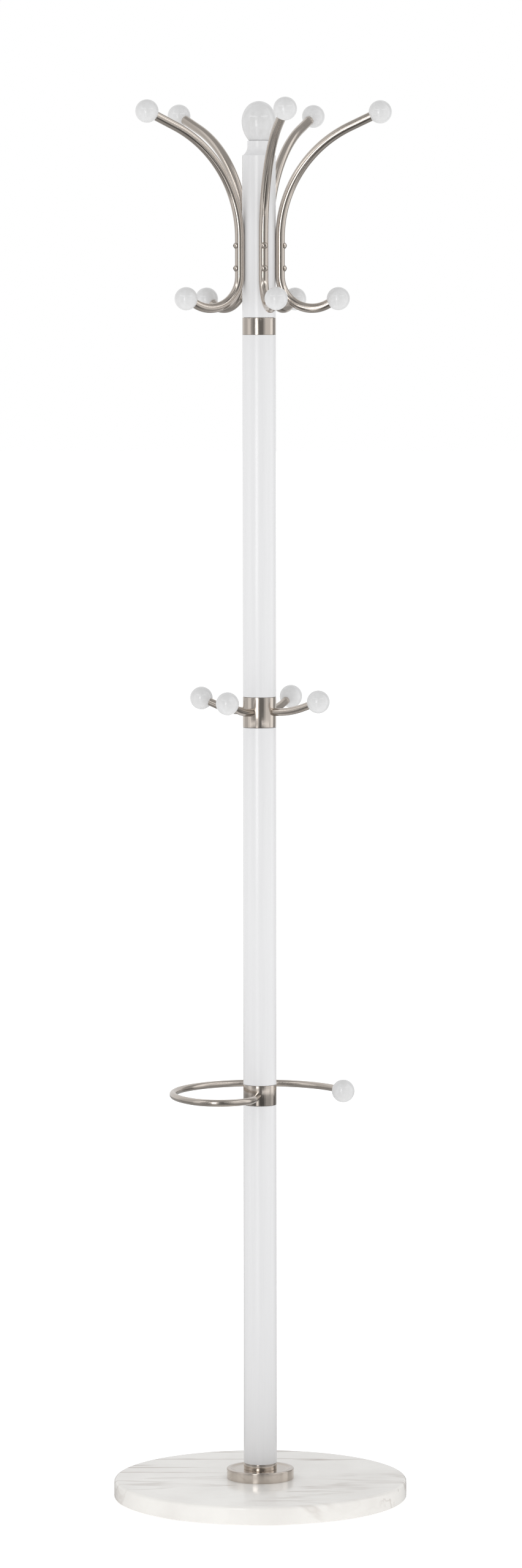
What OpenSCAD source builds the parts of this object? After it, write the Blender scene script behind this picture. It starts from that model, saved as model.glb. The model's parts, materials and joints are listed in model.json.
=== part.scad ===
// Standing coat rack: a marble foot, a turned post in four lengths joined by metal sleeves,
// an umbrella ring and a ring of short hooks on sleeves that turn, and a turning head with
// five double arms. Millimetres, +Z up, origin on the floor under the middle of the foot.

/* [Foot] */
// Diameter of the marble disc
base_d = 380; // [320:1:460]
// Thickness of the marble disc
base_t = 23.5; // [20:0.5:40]
// Radius of the disc's polished top edge
base_top_round = 4.5; // [1:0.5:8]
// Radius of the disc's lower edge
base_low_round = 2; // [0.5:0.5:4]
// Depth of the pocket under the disc that hides the bolt head
pocket_depth = 11; // [10:0.5:14]
// Diameter of that pocket
pocket_d = 46; // [40:1:60]
// Diameter of one felt pad
pad_d = 30; // [16:1:40]
// Thickness of the felt pads
pad_t = 2; // [1:0.5:4]
// Number of felt pads
pad_count = 5; // [4:1:8]
// Distance from the disc's rim to the middle of a pad
pad_inset = 28; // [24:1:60]
// Diameter of the metal flange
flange_d = 87; // [70:1:120]
// Thickness of the flange at the post
flange_t = 12; // [8:0.5:18]
// Rise of the lip round the flange's top
flange_lip = 1.5; // [0.5:0.1:3]
// Width of the lip
flange_lip_w = 4.5; // [2.5:0.25:8]
// Radius of the dish that leads up to the lip
flange_dish_r = 13; // [6:0.5:20]
// Radius of the flange's top edge
flange_round = 1.5; // [0.5:0.25:3]
// Height of the sleeve that stands on the flange
ferrule_h = 8.5; // [7:0.5:20]

/* [Post] */
// Outer diameter of the post and of its sleeves
post_d = 43; // [40:0.5:56]
// Wall of the metal sleeves
sleeve_wall = 2; // [1.5:0.25:3]
// Break of the sleeves' edges
sleeve_edge = 0.4; // [0.2:0.1:0.8]
// Visible length of the lower post
lower_l = 468.5; // [300:0.5:600]
// Visible length of the middle post
middle_l = 462.5; // [300:0.5:600]
// Visible length of the upper post
upper_l = 464; // [300:0.5:600]
// Height of the band under the head
band_h = 22; // [18:0.5:40]
// Break of the tenon ends
tenon_chamfer = 1; // [0.5:0.25:2]

/* [Umbrella ring] */
// Height of the sleeve that carries the ring
ring_collar_h = 26; // [16:0.5:40]
// Radius of the ring's centre line round the post
ring_r = 112.5; // [91:0.5:140]
// Diameter of the ring's tube
ring_tube_d = 9; // [7:0.5:12]
// Wall of the ring's tube
ring_tube_wall = 1; // [0.8:0.1:1.5]
// Radius of the bend that leads the stub into the ring
ring_bend_r = 45; // [25:1:48]
// Direction in which the stub leaves the sleeve
ring_stub_angle = -98; // [-180:1:180]
// Opening of the ring, from the stub to the end ball
ring_mouth_angle = 114; // [60:1:170]

/* [Short hooks] */
// Height of the sleeve that carries the hooks
hook_collar_h = 39; // [24:0.5:60]
// Number of short hooks
hook_count = 4; // [3:1:6]
// Direction of the first short hook
hook_angle = -28.5; // [-90:0.5:90]
// Diameter of a hook's rod
hook_rod_d = 10; // [7:0.5:12]
// Height of the hooks' roots above the middle of their sleeve
hook_lift = 0.5; // [0:0.5:4]
// Straight length of a hook before its bend
hook_lead = 3; // [2:0.5:6]
// Radius of the hook's upward bend
hook_bend_r = 114; // [70:1:116]
// Turn of the hook's upward bend
hook_bend_angle = 20; // [10:1:26]
// Distance from the post's axis to the middle of a hook's ball
hook_reach = 85.5; // [84:0.1:110]

/* [Head] */
// Height of the head post from its shoulder to the cove
head_l = 206; // [190:1:280]
// Height of the cove that narrows the head post to its neck
cove_h = 11.7; // [8:0.1:16]
// Diameter of the neck under the knob
neck_d = 29.5; // [26:0.5:34]
// Length of the straight neck
neck_l = 6.9; // [4:0.1:20]
// Greatest diameter of the knob
knob_d = 44.2; // [40:0.1:56]
// Height of the knob's widest line above its foot
knob_waist = 25.2; // [20:0.1:28]
// Radius of the knob's profile below its widest line
knob_low_r = 38.3; // [34:0.1:60]
// Radius of the knob's profile above its widest line
knob_side_r = 28.5; // [28.2:0.1:40]
// Angle at which that radius gives way to the crown
knob_side_angle = 40; // [25:1:55]

/* [Arms] */
// Number of double arms
arm_count = 5; // [3:1:6]
// Direction of the first arm
arm_angle = -9.5; // [-90:0.5:90]
// How far each arm stands from its even place, as set by hand
arm_set = [-0.9, 0.7, -3.2, -1, 3.6, 0]; // [-6:0.1:6]
// Diameter of the arms' tube
arm_d = 12; // [10:0.5:14]
// Wall of the arms' tube
arm_wall = 1.2; // [1:0.1:2]
// Height of the lower bend's start above the head's shoulder
arm_foot = 53; // [48:0.5:70]
// Straight length that lies against the post
arm_straight = 47.7; // [40:0.1:70]
// Radius of the upper bend
arm_up_r = 156; // [120:1:160]
// Turn of the upper bend
arm_up_angle = 65; // [50:1:67]
// Distance from the post's axis to the middle of an upper ball
arm_up_reach = 156.9; // [150:0.1:200]
// Radius of the lower bend
arm_low_r = 41.4; // [30:0.1:44]
// Turn of the lower bend
arm_low_angle = 117; // [100:1:125]
// Distance from the post's axis to the middle of a lower ball
arm_low_reach = 102.8; // [101:0.1:130]
// Distance from each end of the straight length to a screw
screw_edge = 9.4; // [7:0.1:14]
// Diameter of the arm screws
screw_d = 4; // [3.5:0.5:5]
// Diameter of the screws' domed heads
screw_head_d = 9; // [7:0.5:10]
// Height of the screws' domed heads
screw_head_h = 3.2; // [2.5:0.1:4]
// Width across the flats of the recess in a screw's head
screw_hex = 3; // [2:0.5:4]
// Thickness of the head under that recess
screw_web = 1.1; // [0.8:0.1:1.5]
// Depth of the flat that seats each screw head
screw_seat = 0.7; // [0.3:0.1:0.8]
// Depth to which the screws enter the post
screw_bite = 16; // [10:0.5:17]

/* [Balls] */
// Diameter of the balls
ball_d = 29.5; // [27:0.5:36]
// Depth to which a tube enters its ball
ball_seat = 11; // [8:0.5:11.5]

/* [Joining hardware] */
// Diameter of the joining studs and of the foot bolt
stud_d = 10; // [8:1:12]
// Outer diameter of the threaded inserts
insert_d = 15; // [14:0.5:18]
// Length of the threaded inserts
insert_l = 25; // [18:1:32]
// Free depth behind each insert
insert_relief = 8; // [6:0.5:14]
// Diameter of the washer under the disc
washer_d = 38; // [30:1:39]
// Thickness of that washer
washer_t = 2.5; // [1.5:0.5:3]
// Width across the flats of the bolt head
bolt_flats = 16; // [13:1:19]
// Height of the bolt head
bolt_head_h = 6.4; // [5:0.1:7]
// Diameter of the head's pivot pin
pivot_d = 12; // [11:0.5:14]
// Length of the pin above its shoulder
pivot_l = 40; // [30:1:40]
// Wall of the pivot's steel socket
socket_wall = 2; // [1.5:0.25:3]
// Diameter of the grip ring's wire
grip_wire_d = 1.6; // [1.2:0.1:2]
// Distance from the pin's end to the grip ring
grip_inset = 7; // [5:0.5:10]
// Opening of the grip ring
grip_opening = 40; // [20:5:60]
// Thickness of the nylon washer that the head turns on
thrust_t = 1; // [0.5:0.25:2]
// Diameter of the knob's double-ended screw
knob_screw_d = 6; // [5:0.5:8]
// Depth to which that screw enters each side
knob_screw_bite = 18; // [14:1:20]

/* [Clearances] */
// Radial play of a sleeve or socket that turns
turn_play = 0.1; // [0.05:0.01:0.1]
// Gap between the faces of parts that turn
turn_gap = 0.3; // [0.2:0.05:0.5]
// Play of fixed pins, tubes and inserts in their holes
fit_play = 0.05; // [0.02:0.01:0.1]
// Play of bolts and screws in clearance holes
hole_play = 0.25; // [0.1:0.05:0.4]

/* [Hidden] */
$fn = 96;
// Facets of thin wire
wire_fn = 24;
// Hair gap between the lengths of a bent tube, how far their shared liner reaches past it, and
// the share of the wall that hides the liner on each side
seam_gap = 0.05;
seam_reach = 0.8;
seam_cover = 0.2;
// Grooves that grip the wood round an insert: how many, how wide and how deep
groove_count = 4;
groove_h = 2;
groove_depth = 0.8;
// Break of a pin's end, as a share of its diameter
pin_break = 0.1;
// Share of the grip ring's wire that lies in the pivot's groove
grip_sunk = 0.6;
// Chamfer of the pivot's top
pivot_break = 1;

// Finishes
WHITE = [0.91, 0.91, 0.91];
NICKEL = [0.68, 0.65, 0.61];
MARBLE = [0.90, 0.89, 0.87];
STEEL = [0.62, 0.63, 0.65];
BRASS = [0.78, 0.64, 0.32];
FELT = [0.45, 0.44, 0.42];
NYLON = [0.94, 0.93, 0.88];

// Radii of the post, of the sleeves' bores and of the tenons in them
post_r = post_d / 2;
bore_r = post_r - sleeve_wall;
tenon_fixed_r = bore_r - fit_play;
tenon_turn_r = bore_r - turn_play;

// Levels from the floor up: each names where that piece begins
z_base = pad_t;
z_flange = z_base + base_t;
z_foot = z_flange + flange_t;
z_lower = z_foot + ferrule_h;
z_ring = z_lower + lower_l;
ring_slot = ring_collar_h + 2 * turn_gap;
z_middle = z_ring + ring_slot;
z_hooks = z_middle + middle_l;
hook_slot = hook_collar_h + 2 * turn_gap;
z_upper = z_hooks + hook_slot;
z_band = z_upper + upper_l;
z_head = z_band + band_h + turn_gap;
z_cove = z_head + head_l;
z_neck = z_cove + cove_h;
z_knob = z_neck + neck_l;

// Planes in which the post's lengths meet inside their sleeves
ring_tenon = ring_slot / 2;
hook_tenon = hook_slot / 2;
z_ring_joint = z_ring + ring_tenon;
z_hook_joint = z_hooks + hook_tenon;
band_tenon = (band_h - thrust_t) / 2;
z_thrust = z_band + band_tenon;
z_head_end = z_thrust + thrust_t + turn_play;

// Umbrella ring: the bend touches the ring and the stub
ring_z = z_ring + ring_slot / 2;
ring_bend_at = ring_r - ring_bend_r;
ring_bend_turn = asin(ring_bend_r / ring_bend_at);
ring_ball_angle = ring_stub_angle + ring_mouth_angle;
ring_stub_l = sqrt(pow(ring_bend_at, 2) - pow(ring_bend_r, 2));

// Short hooks: rise of the rod above the sleeve's middle line
hook_z = z_hooks + hook_slot / 2 + hook_lift;
hook_end_r = post_r + hook_lead + hook_bend_r * sin(hook_bend_angle);
hook_tail = (hook_reach - hook_end_r) / cos(hook_bend_angle);
hook_ball_z = hook_z + hook_bend_r * (1 - cos(hook_bend_angle)) + hook_tail * sin(hook_bend_angle);

// Arms: centre line in the plane of one arm
arm_r = post_r + arm_d / 2;
arm_low_z = z_head + arm_foot;
arm_up_z = arm_low_z + arm_straight;
up_end_r = arm_r + arm_up_r * (1 - cos(arm_up_angle));
up_tail = (arm_up_reach - up_end_r) / sin(arm_up_angle);
up_ball_z = arm_up_z + arm_up_r * sin(arm_up_angle) + up_tail * cos(arm_up_angle);
low_tilt = arm_low_angle - 90;
low_end_r = arm_r + arm_low_r * (1 + sin(low_tilt));
low_tail = (arm_low_reach - low_end_r) / cos(low_tilt);
low_ball_z = arm_low_z - arm_low_r * cos(low_tilt) + low_tail * sin(low_tilt);
screw_levels = [arm_low_z + screw_edge, arm_up_z - screw_edge];
seat_r = arm_r + arm_d / 2 - screw_seat;

// Grip ring: its middle level, the bottom of the pin's groove and the radius of the wire's run
grip_z = z_thrust + pivot_l - grip_inset;
grip_floor_r = pivot_d / 2 - grip_wire_d * grip_sunk;
grip_r = grip_floor_r + grip_wire_d / 2 + fit_play;

// How far a tube's end stays from the middle of its ball
ball_stop = ball_d / 2 - ball_seat;
ring_seat_angle = asin(ball_stop / ring_r);

// Radius of the cove, which meets the neck without an edge
cove_step = post_r - neck_d / 2;
cove_r = (pow(cove_step, 2) + pow(cove_h, 2)) / (2 * cove_step);

// Knob profile: the crown's centre lies on the axis
knob_r = knob_d / 2;
crown_rise = (knob_side_r - knob_r) * tan(knob_side_angle);
crown_r = knob_side_r - (knob_side_r - knob_r) / cos(knob_side_angle);

// Points along an arc round [cx, cy] from angle a to angle b, in n steps
function arc(cx, cy, r, a, b, n) =
    [for (i = [0 : n]) let (t = a + (b - a) * i / n) [cx + r * cos(t), cy + r * sin(t)]];

// All points of a list but the first
function later(points) = [for (i = [1 : len(points) - 1]) points[i]];

// A turned length: tenon, shoulder, body, shoulder, tenon
module turned(z0, z1, low_r, low_l, high_r, high_l) {
    c = tenon_chamfer;
    rotate_extrude()
        polygon([
            [0, z0 - low_l], [low_r - c, z0 - low_l], [low_r, z0 - low_l + c], [low_r, z0],
            [post_r, z0], [post_r, z1],
            [high_r, z1], [high_r, z1 + high_l - c], [high_r - c, z1 + high_l], [0, z1 + high_l]
        ]);
}

// Hole for an insert and the stud behind it, opening at level z and running up or down
module insert_hole(z, up) {
    translate([0, 0, z])
        mirror([0, 0, up ? 0 : 1]) {
            translate([0, 0, -1])
                cylinder(r = insert_d / 2 + fit_play, h = insert_l + 1);
            cylinder(r = stud_d / 2 + hole_play, h = insert_l + insert_relief);
        }
}

// Straight length of a tube along Z; a bore of 0 makes a solid rod
module straight(d, bore, z0, z1) {
    translate([0, 0, z0])
        difference() {
            cylinder(d = d, h = z1 - z0);
            if (bore > 0)
                translate([0, 0, -1])
                    cylinder(d = bore, h = z1 - z0 + 2);
        }
}

// Bend of radius r about the point [r, 0, 0], which leaves the origin along Z and turns towards X
module bend(d, bore, r, turn) {
    translate([r, 0, 0])
        rotate([90, 0, 0])
            rotate([0, 0, 180 - turn])
                rotate_extrude(angle = turn)
                    translate([r, 0])
                        difference() {
                            circle(d = d);
                            if (bore > 0) circle(d = bore);
                        }
}

// Carries its children to the end of such a bend
module past_bend(r, turn) {
    translate([r, 0, 0])
        rotate([0, turn, 0])
            translate([-r, 0, 0])
                children();
}

// Liner within the wall, across the hair gap between two lengths, which makes them one piece
module seam(d, bore) {
    wall = (d - bore) / 2;
    cover = 2 * seam_cover * wall;
    straight(d - cover, bore > 0 ? bore + cover : 0, -seam_reach, seam_reach);
}

// Sleeve with broken edges
module sleeve(z, h) {
    c = sleeve_edge;
    translate([0, 0, z])
        rotate_extrude()
            polygon([
                [bore_r, 0], [post_r - c, 0], [post_r, c],
                [post_r, h - c], [post_r - c, h], [bore_r, h]
            ]);
}

// Turned pin with chamfered ends
module chamfered_pin(d, l) {
    c = d * pin_break;
    rotate_extrude()
        polygon([[0, 0], [d / 2 - c, 0], [d / 2, c], [d / 2, l - c], [d / 2 - c, l], [0, l]]);
}

// ---- Foot ----

module felt_pads() {
    color(FELT)
        for (i = [0 : pad_count - 1])
            rotate([0, 0, 90 + i * 360 / pad_count])
                translate([base_d / 2 - pad_inset, 0, 0])
                    cylinder(d = pad_d, h = pad_t);
}

module marble_base() {
    r = base_d / 2;
    a = base_top_round;
    b = base_low_round;
    color(MARBLE)
        translate([0, 0, z_base])
            difference() {
                rotate_extrude()
                    polygon(concat(
                        [[0, 0]],
                        arc(r - b, b, b, -90, 0, 4),
                        arc(r - a, base_t - a, a, 0, 90, 8),
                        [[0, base_t]]
                    ));
                translate([0, 0, -1])
                    cylinder(d = pocket_d, h = pocket_depth + 1);
                cylinder(r = stud_d / 2 + hole_play, h = base_t + 1);
            }
}

module base_washer() {
    color(STEEL)
        translate([0, 0, z_base + pocket_depth - washer_t])
            difference() {
                cylinder(d = washer_d, h = washer_t);
                translate([0, 0, -1])
                    cylinder(r = stud_d / 2 + hole_play, h = washer_t + 2);
            }
}

module base_bolt() {
    head_z = z_base + pocket_depth - washer_t - bolt_head_h;
    color(STEEL)
        union() {
            translate([0, 0, head_z])
                cylinder(d = bolt_flats / cos(30), h = bolt_head_h, $fn = 6);
            translate([0, 0, head_z + bolt_head_h])
                chamfered_pin(stud_d, z_foot + insert_l - head_z - bolt_head_h);
        }
}

module base_flange() {
    r = flange_d / 2;
    a = flange_round;
    rise = acos(1 - flange_lip / flange_dish_r);
    color(NICKEL)
        translate([0, 0, z_flange])
            difference() {
                rotate_extrude()
                    polygon(concat(
                        [[0, 0], [r, 0]],
                        arc(r - a, flange_t + flange_lip - a, a, 0, 90, 6),
                        arc(
                            r - flange_lip_w - flange_dish_r * sin(rise), flange_t + flange_dish_r,
                            flange_dish_r, rise - 90, -90, 6
                        ),
                        [[0, flange_t]]
                    ));
                translate([0, 0, -1])
                    cylinder(r = stud_d / 2 + hole_play, h = flange_t + flange_lip + 2);
            }
}

module foot_ferrule() {
    color(NICKEL)
        sleeve(z_foot, ferrule_h);
}

// ---- Post ----

module lower_post() {
    color(WHITE)
        difference() {
            turned(z_lower, z_ring, tenon_fixed_r, ferrule_h, tenon_turn_r, ring_tenon);
            insert_hole(z_foot, true);
            insert_hole(z_ring_joint, false);
        }
}

module middle_post() {
    color(WHITE)
        difference() {
            turned(z_middle, z_hooks, tenon_turn_r, ring_tenon, tenon_turn_r, hook_tenon);
            insert_hole(z_ring_joint, true);
            insert_hole(z_hook_joint, false);
        }
}

module upper_post() {
    color(WHITE)
        difference() {
            turned(z_upper, z_band, tenon_turn_r, hook_tenon, tenon_fixed_r, band_tenon);
            insert_hole(z_hook_joint, true);
            insert_hole(z_thrust, false);
        }
}

module insert_body() {
    groove_pitch = insert_l / (groove_count + 1);
    difference() {
        cylinder(d = insert_d, h = insert_l);
        translate([0, 0, -1])
            cylinder(r = stud_d / 2 + fit_play, h = insert_l + 2);
        for (k = [1 : groove_count])
            translate([0, 0, k * groove_pitch - groove_h / 2])
                rotate_extrude()
                    translate([insert_d / 2 - groove_depth, 0])
                        square([groove_depth + 1, groove_h]);
    }
}

module threaded_inserts() {
    rising = [z_foot, z_ring_joint, z_hook_joint];
    falling = [z_ring_joint, z_hook_joint, z_thrust];
    color(BRASS) {
        for (z = rising)
            translate([0, 0, z])
                insert_body();
        for (z = falling)
            translate([0, 0, z - insert_l])
                insert_body();
    }
}

module joint_studs() {
    color(STEEL)
        for (z = [z_ring_joint, z_hook_joint])
            translate([0, 0, z - insert_l])
                chamfered_pin(stud_d, 2 * insert_l);
}

module top_band() {
    color(NICKEL)
        sleeve(z_band, band_h);
}

module thrust_washer() {
    color(NYLON)
        translate([0, 0, z_thrust])
            difference() {
                cylinder(r = tenon_fixed_r, h = thrust_t);
                translate([0, 0, -1])
                    cylinder(r = pivot_d / 2 + hole_play, h = thrust_t + 2);
            }
}

module pivot_pin() {
    r = pivot_d / 2;
    half = grip_wire_d / 2 + fit_play;
    color(STEEL)
        union() {
            translate([0, 0, z_thrust - insert_l])
                chamfered_pin(stud_d, insert_l);
            rotate_extrude()
                polygon([
                    [0, z_thrust], [r, z_thrust],
                    [r, grip_z - half], [grip_floor_r, grip_z - half],
                    [grip_floor_r, grip_z + half], [r, grip_z + half],
                    [r, z_thrust + pivot_l - pivot_break],
                    [r - pivot_break, z_thrust + pivot_l], [0, z_thrust + pivot_l]
                ]);
        }
}

module grip_ring() {
    color(STEEL)
        translate([0, 0, grip_z])
            rotate([0, 0, grip_opening / 2])
                rotate_extrude(angle = 360 - grip_opening)
                    translate([grip_r, 0])
                        circle(d = grip_wire_d, $fn = wire_fn);
}

// ---- Umbrella ring ----

module ring_stub_hole() {
    translate([0, 0, ring_z])
        rotate([0, 90, ring_stub_angle])
            cylinder(r = ring_tube_d / 2 + fit_play, h = post_r + 1);
}

module ring_collar() {
    color(NICKEL)
        difference() {
            sleeve(z_ring + turn_gap, ring_collar_h);
            ring_stub_hole();
        }
}

module umbrella_ring() {
    bore = ring_tube_d - 2 * ring_tube_wall;
    bend_turn = 90 + ring_bend_turn;
    ring_turn = 360 - ring_mouth_angle - ring_bend_turn - ring_seat_angle;
    gap_angle = asin(seam_gap / ring_r);
    color(NICKEL)
        translate([0, 0, ring_z])
            rotate([0, 0, ring_stub_angle])
                rotate([-90, 0, 0])
                    rotate([0, 90, 0])
                        union() {
                            straight(ring_tube_d, bore, bore_r + turn_gap, ring_stub_l - seam_gap);
                            translate([0, 0, ring_stub_l]) {
                                seam(ring_tube_d, bore);
                                bend(ring_tube_d, bore, ring_bend_r, bend_turn);
                                past_bend(ring_bend_r, bend_turn) {
                                    seam(ring_tube_d, bore);
                                    past_bend(ring_r, gap_angle)
                                        bend(ring_tube_d, bore, ring_r, ring_turn - gap_angle);
                                }
                            }
                        }
}

module ring_ball() {
    color(WHITE)
        difference() {
            rotate([0, 0, ring_ball_angle])
                translate([ring_r, 0, ring_z])
                    sphere(d = ball_d);
            translate([0, 0, ring_z])
                rotate([0, 0, ring_ball_angle + ring_seat_angle])
                    rotate_extrude(angle = asin(ball_d / 2 / ring_r))
                        translate([ring_r, 0])
                            circle(r = ring_tube_d / 2 + fit_play);
        }
}

// ---- Short hooks ----

module hook_at(i) {
    rotate([0, 0, hook_angle + (i - 1) * 360 / hook_count])
        children();
}

module hook_collar() {
    color(NICKEL)
        difference() {
            sleeve(z_hooks + turn_gap, hook_collar_h);
            for (i = [1 : hook_count])
                hook_at(i)
                    translate([0, 0, hook_z])
                        rotate([0, 90, 0])
                            cylinder(r = hook_rod_d / 2 + fit_play, h = post_r + 1);
        }
}

module hook(i) {
    lead_end = post_r + hook_lead;
    color(NICKEL)
        hook_at(i)
            translate([0, 0, hook_z])
                rotate([180, 0, 0])
                    rotate([0, 90, 0])
                        union() {
                            straight(hook_rod_d, 0, bore_r + turn_gap, lead_end - seam_gap);
                            translate([0, 0, lead_end]) {
                                seam(hook_rod_d, 0);
                                bend(hook_rod_d, 0, hook_bend_r, hook_bend_angle);
                                past_bend(hook_bend_r, hook_bend_angle) {
                                    seam(hook_rod_d, 0);
                                    straight(hook_rod_d, 0, seam_gap, hook_tail - ball_stop);
                                }
                            }
                        }
}

module hook_ball(i) {
    color(WHITE)
        hook_at(i)
            translate([hook_reach, 0, hook_ball_z])
                rotate([0, 90 - hook_bend_angle, 0])
                    bored_ball(hook_rod_d);
}

// Ball about the origin, bored from below along Z
module bored_ball(rod_d) {
    difference() {
        sphere(d = ball_d);
        translate([0, 0, -ball_d])
            cylinder(r = rod_d / 2 + fit_play, h = ball_d - ball_stop);
    }
}

// ---- Head ----

module arm_at(i) {
    rotate([0, 0, arm_angle + arm_set[i - 1] + (i - 1) * 360 / arm_count])
        children();
}

module head_post() {
    c = tenon_chamfer;
    low_r = tenon_turn_r;
    socket_hole_r = pivot_d / 2 + turn_play + socket_wall + fit_play;
    color(WHITE)
        difference() {
            rotate_extrude()
                polygon(concat(
                    [[0, z_head_end], [low_r - c, z_head_end], [low_r, z_head_end + c],
                     [low_r, z_head], [post_r, z_head]],
                    arc(neck_d / 2 + cove_r, z_neck, cove_r, 180 + asin(cove_h / cove_r), 180, 12),
                    [[neck_d / 2, z_knob], [0, z_knob]]
                ));
            translate([0, 0, z_head_end - 1])
                cylinder(r = socket_hole_r, h = pivot_l + 1);
            translate([0, 0, z_knob - knob_screw_bite])
                cylinder(r = knob_screw_d / 2 + fit_play, h = knob_screw_bite + 1);
            for (i = [1 : arm_count])
                arm_at(i)
                    for (z = screw_levels)
                        translate([post_r - screw_bite, 0, z])
                            rotate([0, 90, 0])
                                cylinder(r = screw_d / 2 + fit_play, h = screw_bite + 1);
        }
}

module pivot_socket() {
    r = pivot_d / 2 + turn_play;
    groove_r = grip_r + grip_wire_d / 2 + turn_gap;
    half = grip_wire_d / 2 + turn_gap;
    color(STEEL)
        rotate_extrude()
            polygon([
                [r, z_head_end], [r + socket_wall, z_head_end],
                [r + socket_wall, z_head_end + pivot_l], [r, z_head_end + pivot_l],
                [r, grip_z + half], [groove_r, grip_z + half],
                [groove_r, grip_z - half], [r, grip_z - half]
            ]);
}

module finial_knob() {
    low_turn = asin(knob_waist / knob_low_r);
    color(WHITE)
        translate([0, 0, z_knob])
            difference() {
                rotate_extrude()
                    polygon(concat(
                        [[0, 0]],
                        arc(knob_r - knob_low_r, knob_waist, knob_low_r, -low_turn, 0, 12),
                        later(arc(knob_r - knob_side_r, knob_waist, knob_side_r, 0, knob_side_angle, 10)),
                        later(arc(0, knob_waist + crown_rise, crown_r, knob_side_angle, 90, 10))
                    ));
                translate([0, 0, -1])
                    cylinder(r = knob_screw_d / 2 + fit_play, h = knob_screw_bite + 1);
            }
}

module finial_screw() {
    color(STEEL)
        translate([0, 0, z_knob - knob_screw_bite])
            chamfered_pin(knob_screw_d, 2 * knob_screw_bite);
}

// One end of an arm: a bend that leaves the straight length along Z, and the tail after it
module arm_end(r, turn, tail) {
    bore = arm_d - 2 * arm_wall;
    seam(arm_d, bore);
    bend(arm_d, bore, r, turn);
    past_bend(r, turn) {
        seam(arm_d, bore);
        straight(arm_d, bore, seam_gap, tail - ball_stop);
    }
}

module arm(i) {
    color(NICKEL)
        arm_at(i)
            translate([arm_r, 0, arm_low_z])
                difference() {
                    union() {
                        straight(arm_d, arm_d - 2 * arm_wall, seam_gap, arm_straight - seam_gap);
                        translate([0, 0, arm_straight])
                            arm_end(arm_up_r, arm_up_angle, up_tail);
                        mirror([0, 0, 1])
                            arm_end(arm_low_r, arm_low_angle, low_tail);
                    }
                    for (z = [screw_edge, arm_straight - screw_edge]) {
                        translate([-arm_d, 0, z])
                            rotate([0, 90, 0])
                                cylinder(r = screw_d / 2 + hole_play, h = 2 * arm_d);
                        translate([arm_d / 2 - screw_seat, 0, z])
                            rotate([0, 90, 0])
                                cylinder(r = screw_head_d / 2 + hole_play, h = arm_d);
                    }
                }
}

// One screw along +X, its head's underside at x = 0
module arm_screw() {
    grip = seat_r - post_r;
    point = screw_d;
    tip_d = screw_d / 5;
    dome_r = (pow(screw_head_d / 2, 2) + pow(screw_head_h, 2)) / (2 * screw_head_h);
    rotate([0, 90, 0])
        difference() {
            union() {
                intersection() {
                    translate([0, 0, screw_head_h - dome_r])
                        sphere(r = dome_r);
                    cylinder(d = screw_head_d + 1, h = screw_head_h + 1);
                }
                translate([0, 0, -grip - screw_bite + point])
                    cylinder(d = screw_d, h = grip + screw_bite - point);
                translate([0, 0, -grip - screw_bite])
                    cylinder(d1 = tip_d, d2 = screw_d, h = point);
            }
            translate([0, 0, screw_web])
                cylinder(d = screw_hex / cos(30), h = screw_head_h, $fn = 6);
        }
}

module arm_screws() {
    color(NICKEL)
        for (i = [1 : arm_count])
            arm_at(i)
                for (z = screw_levels)
                    translate([seat_r, 0, z])
                        arm_screw();
}

module upper_ball(i) {
    color(WHITE)
        arm_at(i)
            translate([arm_up_reach, 0, up_ball_z])
                rotate([0, arm_up_angle, 0])
                    bored_ball(arm_d);
}

module lower_ball(i) {
    color(WHITE)
        arm_at(i)
            translate([arm_low_reach, 0, low_ball_z])
                rotate([0, 90 - low_tilt, 0])
                    bored_ball(arm_d);
}

felt_pads();
marble_base();
base_washer();
base_bolt();
base_flange();
foot_ferrule();
lower_post();
middle_post();
upper_post();
threaded_inserts();
joint_studs();
top_band();
thrust_washer();
pivot_pin();
grip_ring();
ring_collar();
umbrella_ring();
ring_ball();
hook_collar();
head_post();
pivot_socket();
finial_knob();
finial_screw();
arm_screws();
for (i = [1 : hook_count]) {
    hook(i);
    hook_ball(i);
}
for (i = [1 : arm_count]) {
    arm(i);
    upper_ball(i);
    lower_ball(i);
}
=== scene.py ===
import json
import math

import bmesh
import bpy
from bpy.props import FloatProperty, FloatVectorProperty, IntProperty, PointerProperty
from bpy.types import Operator, Panel, PropertyGroup
from mathutils import Matrix, Vector

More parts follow.
